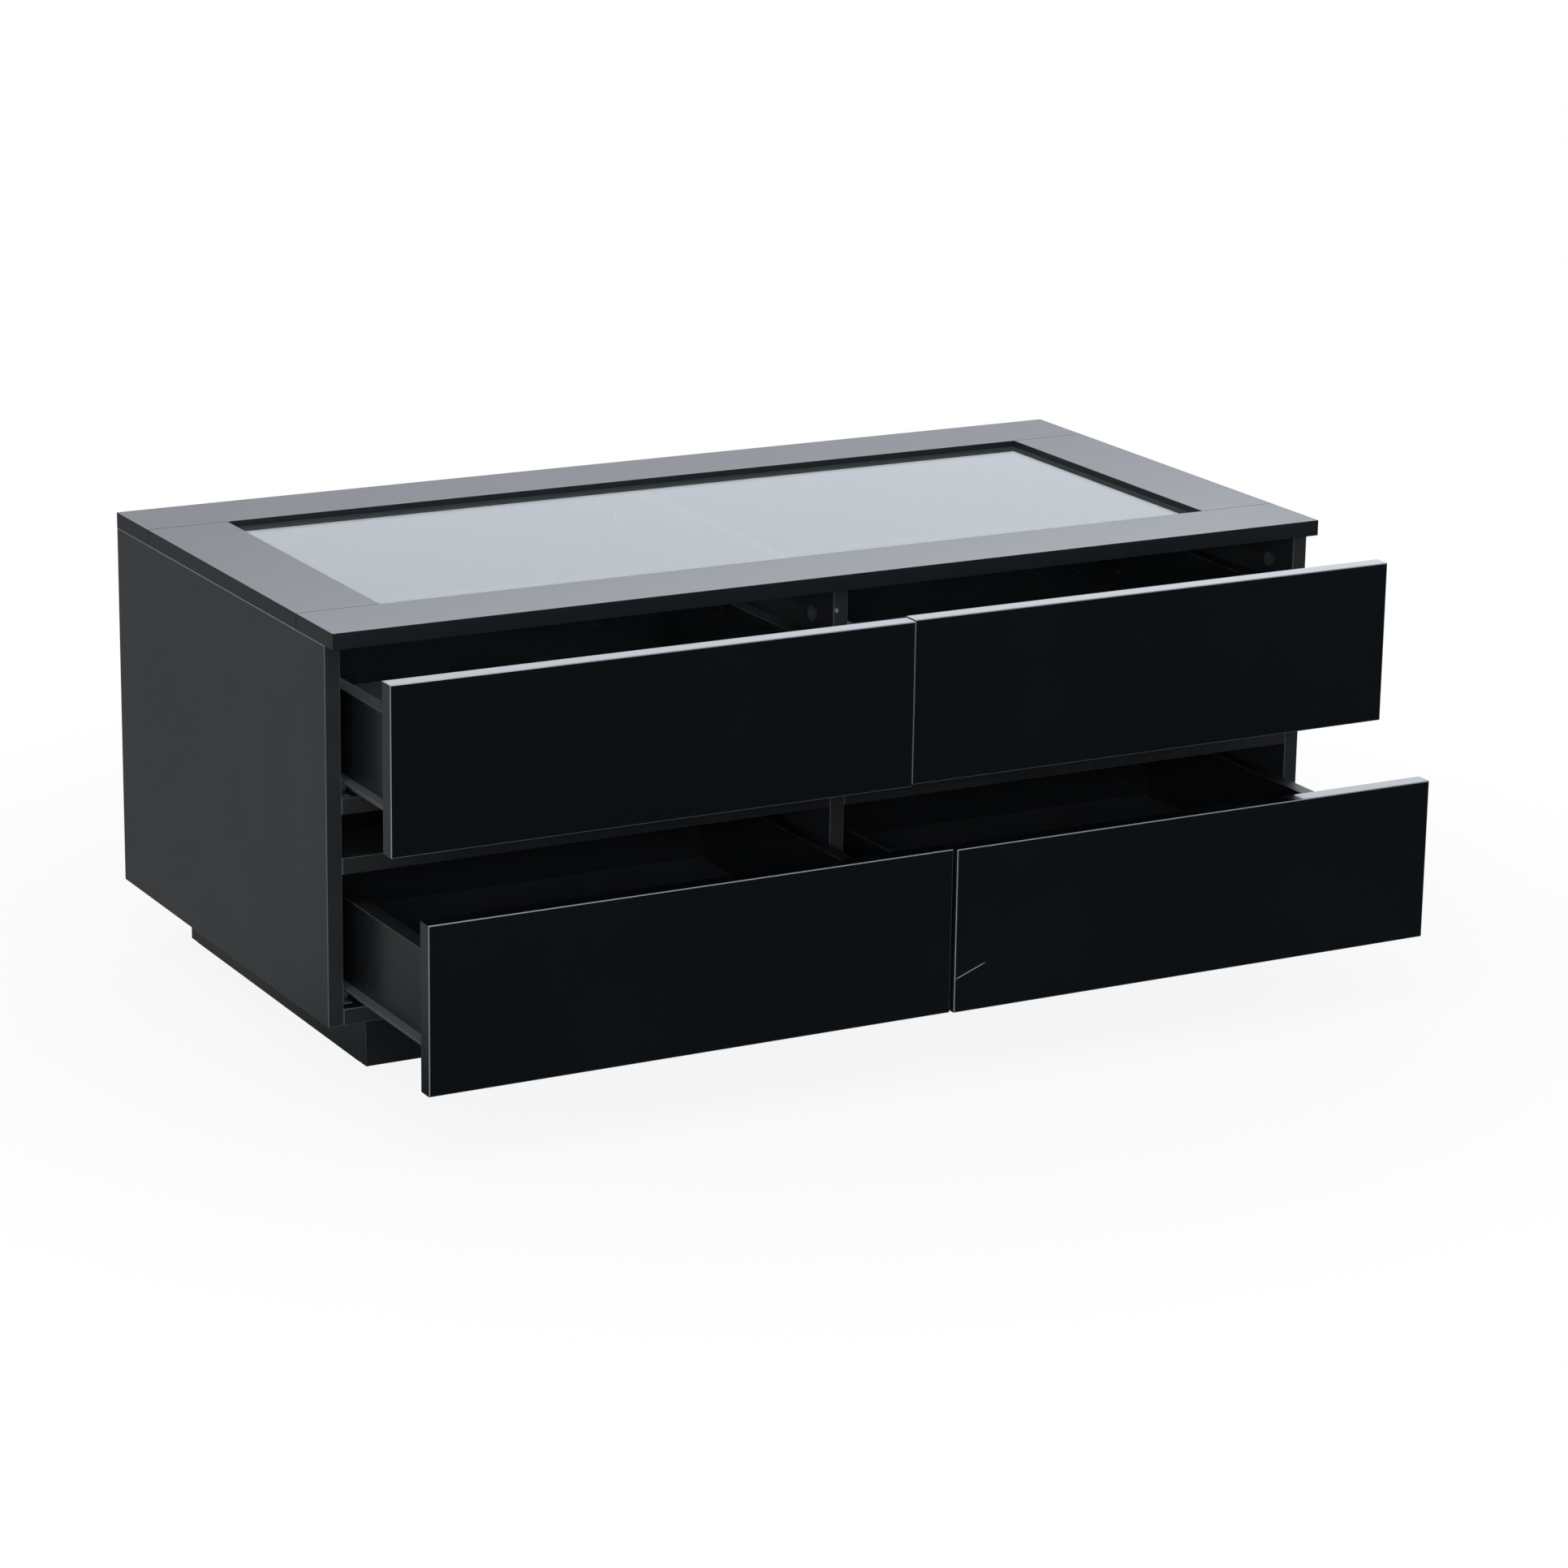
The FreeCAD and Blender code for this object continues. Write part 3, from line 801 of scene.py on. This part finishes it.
@dataclass
class Drawer:
    """One drawer: gloss front, satin box, coated runners, rollers and their screws.

    The screws' places run back from the drawer side's front end, or from the track's. Each screw's turn
    is the first of its two turn values, plus the second for each metre.
    """

    row: str
    side: str
    front: Look = Look.FRONT
    bevel: float = 0.5 * MM
    sheet: float = 1.2 * MM
    gap: float = 12.5 * MM
    profile_up: float = 3.2 * MM
    profile_screws: Tuple[float, ...] = (58.0 * MM, 218.0 * MM, 346.0 * MM)
    profile_turn: Span = (0.4, 5.0)
    profile_head: CrossHead = CrossHead(2.8 * MM, 1.0 * MM)
    track_up: float = 11.6 * MM
    track_screws: Tuple[float, ...] = (37.0 * MM, 229.0 * MM, 389.0 * MM)
    track_turn: Span = (0.9, 4.0)
    track_head: CrossHead = CrossHead(2.1 * MM, 0.9 * MM)

    @property
    def key(self) -> str:
        """The drawer's name."""
        return "%s_%s" % (self.row, self.side)

    def named(self, *parts: str) -> List[str]:
        """The names of the drawer's nodes."""
        return ["%s_%s" % (self.key, part) for part in parts]

    def dress(self, shop: Workshop) -> None:
        """Finish the drawer's boards, runners and rollers.

        Args:
            shop: the workshop.
        """
        shop.dress(self.named("front"), self.front)
        shop.dress(self.named("left_side", "right_side", "back"), Look.DRAWER, self.bevel)
        shop.dress(self.named("bottom"), Look.BASE)
        shop.dress(self.named("drawer_runners", "cabinet_runners"), Look.RUNNER)
        shop.dress(self.named("front_rollers", "rear_rollers"), Look.ROLLER)

    def build_screws(self, shop: Workshop) -> None:
        """Add the screw heads of the drawer profiles and of the cabinet profiles.

        Args:
            shop: the workshop.
        """
        left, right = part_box(self.key + "_left_side"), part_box(self.key + "_right_side")
        start, low = left[0][1], left[0][2]
        moving, fixed = bmesh.new(), bmesh.new()
        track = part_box(self.key + "_cabinet_runners")
        for x, way in ((left[0][0], -1.0), (right[1][0], 1.0)):
            out = Vector((way, 0.0, 0.0))
            for back in self.profile_screws:
                seat = Vector((x + way * self.sheet, start + back, low + self.profile_up))
                turn = self.profile_turn[0] + self.profile_turn[1] * back
                replace(self.profile_head, turn=turn).build(moving, seat, out)
            for back in self.track_screws:
                seat = Vector((x + way * (self.gap - self.sheet), track[0][1] + back, low + self.track_up))
                turn = self.track_turn[0] + self.track_turn[1] * back
                replace(self.track_head, turn=turn).build(fixed, seat, -out)
        shop.piece(self.key + "_drawer_runner_screws", moving, Look.SCREW,
                   self.key + "_drawer")
        shop.piece(self.key + "_cabinet_runner_screws", fixed, Look.SCREW, "carcass")


@dataclass(frozen=True)
class Feather:
    """How far a lamp's glow fades in from its two ends, its foot and its head, as shares of its size."""

    ends: float = 0.2
    foot: float = 0.3
    head: float = 0.65

    def mask(self, left: Flow, up: Flow) -> Flow:
        """Fade the glow.

        Args:
            left: 0 at the lamp's right end, 1 at its left end.
            up: 0 at its foot, 1 at its head.

        Returns:
            0 at the borders, 1 inside them.
        """
        sides = left.ramp(0.0, self.ends) * left.ramp(1.0, 1.0 - self.ends)
        return sides * up.ramp(0.0, self.foot) * up.ramp(1.0, 1.0 - self.head)


@dataclass(frozen=True)
class Softbox:
    """A large soft lamp that the camera doesn't see; slope is what its glow gains from left to right."""

    name: str
    place: Point
    aim: Point
    size: Span
    radiance: float
    colour: Colour = (1.0, 1.0, 1.0)
    slope: float = 0.0
    feather: Optional[Feather] = None
    through_glass: bool = True

    def grade(self, data: bpy.types.Light) -> None:
        """Let the glow change over the lamp's face.

        Args:
            data: the lamp.
        """
        data.use_nodes = True
        book = NodeBook(data.node_tree)
        left, up, _ = book.apart(book.node("ShaderNodeNewGeometry").outputs["Parametric"])
        level = 1.0 + (0.5 - left) * self.slope
        if self.feather is not None:
            level = level * self.feather.mask(left, up)
        glow = book.shaded("ShaderNodeEmission", {"Strength": level})
        book.node("ShaderNodeOutputLight", None, {"Surface": glow})

    def build(self) -> None:
        """Hang the lamp."""
        data = bpy.data.lights.new(self.name, "AREA")
        data.shape = "RECTANGLE"
        data.size, data.size_y = self.size
        data.energy = self.radiance * math.pi * self.size[0] * self.size[1]
        data.color = self.colour
        if self.slope:
            self.grade(data)
        made = bpy.data.objects.new(self.name, data)
        made.location = self.place
        way = Vector(self.aim) - Vector(self.place)
        made.rotation_euler = way.to_track_quat("-Z", "Y").to_euler()
        made.visible_camera = False
        made.visible_transmission = self.through_glass
        bpy.context.scene.collection.objects.link(made)
        LOG.info("lamp %s", self.name)


# Behind and near give the glass and the top their sheen, and fill lights the fronts from the camera's side.
SOFTBOXES: Tuple[Softbox, ...] = (
    Softbox("overhead", place=(-0.6, -0.8, 3.0), aim=(0.0, 0.0, 0.3), size=(3.0, 2.2), radiance=2.4),
    Softbox("behind", place=(1.7, 3.6, 1.55), aim=(0.0, 0.0, 0.45), size=(7.5, 2.9), radiance=0.97,
            colour=(0.93, 0.98, 1.07), slope=0.5),
    Softbox("left", place=(-3.2, -0.4, 1.5), aim=(-0.5, 0.0, 0.25), size=(2.6, 2.0), radiance=1.05),
    Softbox("front", place=(-0.5, -4.4, 2.7), aim=(0.0, -0.3, 0.3), size=(5.0, 1.8), radiance=1.04,
            colour=(0.84, 0.97, 1.12)),
    Softbox("near", place=(0.60, 1.02, 1.18), aim=(0.60, -0.25, 0.43), size=(2.4, 0.46), radiance=4.1,
            colour=(0.93, 0.98, 1.06), slope=0.42, feather=Feather(), through_glass=False),
    Softbox("right", place=(3.2, -1.6, 1.7), aim=(0.5, 0.0, 0.25), size=(2.0, 1.8), radiance=1.0),
    Softbox("fill", place=(-2.45, -4.62, 1.66), aim=(0.0, -0.2, 0.25), size=(1.6, 0.6), radiance=21.0,
            colour=(0.90, 0.98, 1.06), through_glass=False),
)


@dataclass
class Studio:
    """Camera, floor, world and lamps.

    The camera's place is in metres, its angles in radians, its focal length and picture in pixels. The
    gloss of the table mirrors the floor and the room in the mirrored and dim colours.
    """

    azimuth: float = -0.5010735769883709
    elevation: float = 0.28170162485825423
    roll: float = -0.015113174832189193
    stand: Point = (-2.3115766527898927, -4.364983690893114, 1.6002031129954091)
    focal: float = 6097.801836260114
    picture: float = 1932.0
    sensor: float = 36.0
    view_end: float = 100.0
    floor_reach: float = 14.0
    floor_grid: int = 4
    paper: float = 0.62
    paper_white: float = 0.90
    paper_fade: Span = (0.3, 1.4)
    mirrored: Colour = (0.225, 0.236, 0.242)
    mirrored_in_front: Colour = (0.034, 0.045, 0.053)
    front_x: Span = (-0.85, -0.60)
    front_y: Span = (0.2, -0.3)
    dim_front: Colour = (0.27, 0.29, 0.32)
    dim_back: Colour = (0.30, 0.31, 0.33)
    dim_span: Span = (-0.5, 0.6)

    def build_camera(self) -> None:
        """Stand the camera where the photograph was taken from."""
        turn, lift = self.azimuth, self.elevation
        ahead = Vector((-math.sin(turn) * math.cos(lift), math.cos(turn) * math.cos(lift), -math.sin(lift)))
        right = Vector((math.cos(turn), math.sin(turn), 0.0))
        down = ahead.cross(right)
        c, s = math.cos(self.roll), math.sin(self.roll)
        across, fall = right * c + down * s, down * c - right * s
        data = bpy.data.cameras.new("camera")
        data.sensor_fit = "HORIZONTAL"
        data.sensor_width = self.sensor
        data.lens = self.focal / self.picture * self.sensor
        data.clip_end = self.view_end
        made = bpy.data.objects.new("camera", data)
        pose = Matrix((across, -fall, -ahead)).transposed().to_4x4()
        pose.translation = Vector(self.stand)
        made.matrix_world = pose
        bpy.context.scene.collection.objects.link(made)
        bpy.context.scene.camera = made

    def floor_paper(self) -> bpy.types.Material:
        """Write the floor's paper, which looks white, keeps a soft shadow, and mirrors as a dim room.

        Returns:
            The material.
        """
        book, material = NodeBook.of_material("floor_paper")
        x, y, _ = book.apart(book.place())
        rays = book.node("ShaderNodeLightPath")
        matt = book.shaded("ShaderNodeBsdfDiffuse", {"Color": grey(self.paper)})
        white = book.shaded("ShaderNodeEmission", {"Color": grey(1.0), "Strength": 1.0})
        in_front = x.ramp(*self.front_x) * y.ramp(*self.front_y)
        seen = book.blend(in_front, self.mirrored, self.mirrored_in_front)
        sheen = book.shaded("ShaderNodeEmission", {"Color": seen, "Strength": 1.0})
        away = (x * x + y * y).ramp(*self.paper_fade)
        whiteness = away * (1.0 - self.paper_white) + self.paper_white
        shown = book.shaded("ShaderNodeMixShader", {0: whiteness, 1: matt, 2: white})
        glossy = book.flow(rays, "Is Glossy Ray")
        looked = book.flow(rays, "Is Camera Ray").most(book.flow(rays, "Is Transmission Ray"))
        plain = book.shaded("ShaderNodeMixShader", {0: glossy, 1: matt, 2: sheen})
        book.finish(book.shaded("ShaderNodeMixShader", {0: looked, 1: plain, 2: shown}))
        return material

    def build_floor(self) -> None:
        """Lay the pale floor."""
        mesh = bmesh.new()
        bmesh.ops.create_grid(mesh, x_segments=self.floor_grid, y_segments=self.floor_grid,
                              size=self.floor_reach)
        data = bpy.data.meshes.new("floor")
        mesh.to_mesh(data)
        mesh.free()
        floor = bpy.data.objects.new("floor", data)
        bpy.context.scene.collection.objects.link(floor)
        data.materials.append(self.floor_paper())

    def build_world(self) -> None:
        """Fill the room with dim light; the camera sees white."""
        world = bpy.data.worlds.new("room")
        bpy.context.scene.world = world
        world.use_nodes = True
        book = NodeBook(world.node_tree)
        rays = book.node("ShaderNodeLightPath")
        _, y, _ = book.apart(book.node("ShaderNodeTexCoord").outputs["Generated"])
        level = book.blend(y.ramp(*self.dim_span), self.dim_front, self.dim_back)
        dim = book.shaded("ShaderNodeBackground", {"Color": level, "Strength": 1.0})
        white = book.shaded("ShaderNodeBackground", {"Color": grey(1.0), "Strength": 1.0})
        looked = book.flow(rays, "Is Camera Ray")
        mixed = book.shaded("ShaderNodeMixShader", {0: looked, 1: dim, 2: white})
        book.node("ShaderNodeOutputWorld", None, {"Surface": mixed})

    def build(self) -> None:
        """Set up the camera, the floor, the world and the lamps."""
        bpy.context.scene.view_settings.view_transform = "Standard"
        self.build_camera()
        self.build_floor()
        self.build_world()
        for lamp in SOFTBOXES:
            lamp.build()


def main() -> None:
    """Dress the table from the top down, then light it."""
    logging.basicConfig(level=logging.INFO, format="%(message)s")
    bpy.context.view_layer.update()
    shop = Workshop()
    TopFrame().dress(shop)
    carcass = Carcass()
    carcass.dress(shop)
    carcass.build_cam_faces(shop)
    for drawer in (Drawer("upper", "left"), Drawer("upper", "right"), Drawer("lower", "left"),
                   Drawer("lower", "right", Look.MARKED_FRONT)):
        drawer.dress(shop)
        drawer.build_screws(shop)
    Studio().build()


if __name__ == "__main__":
    main()
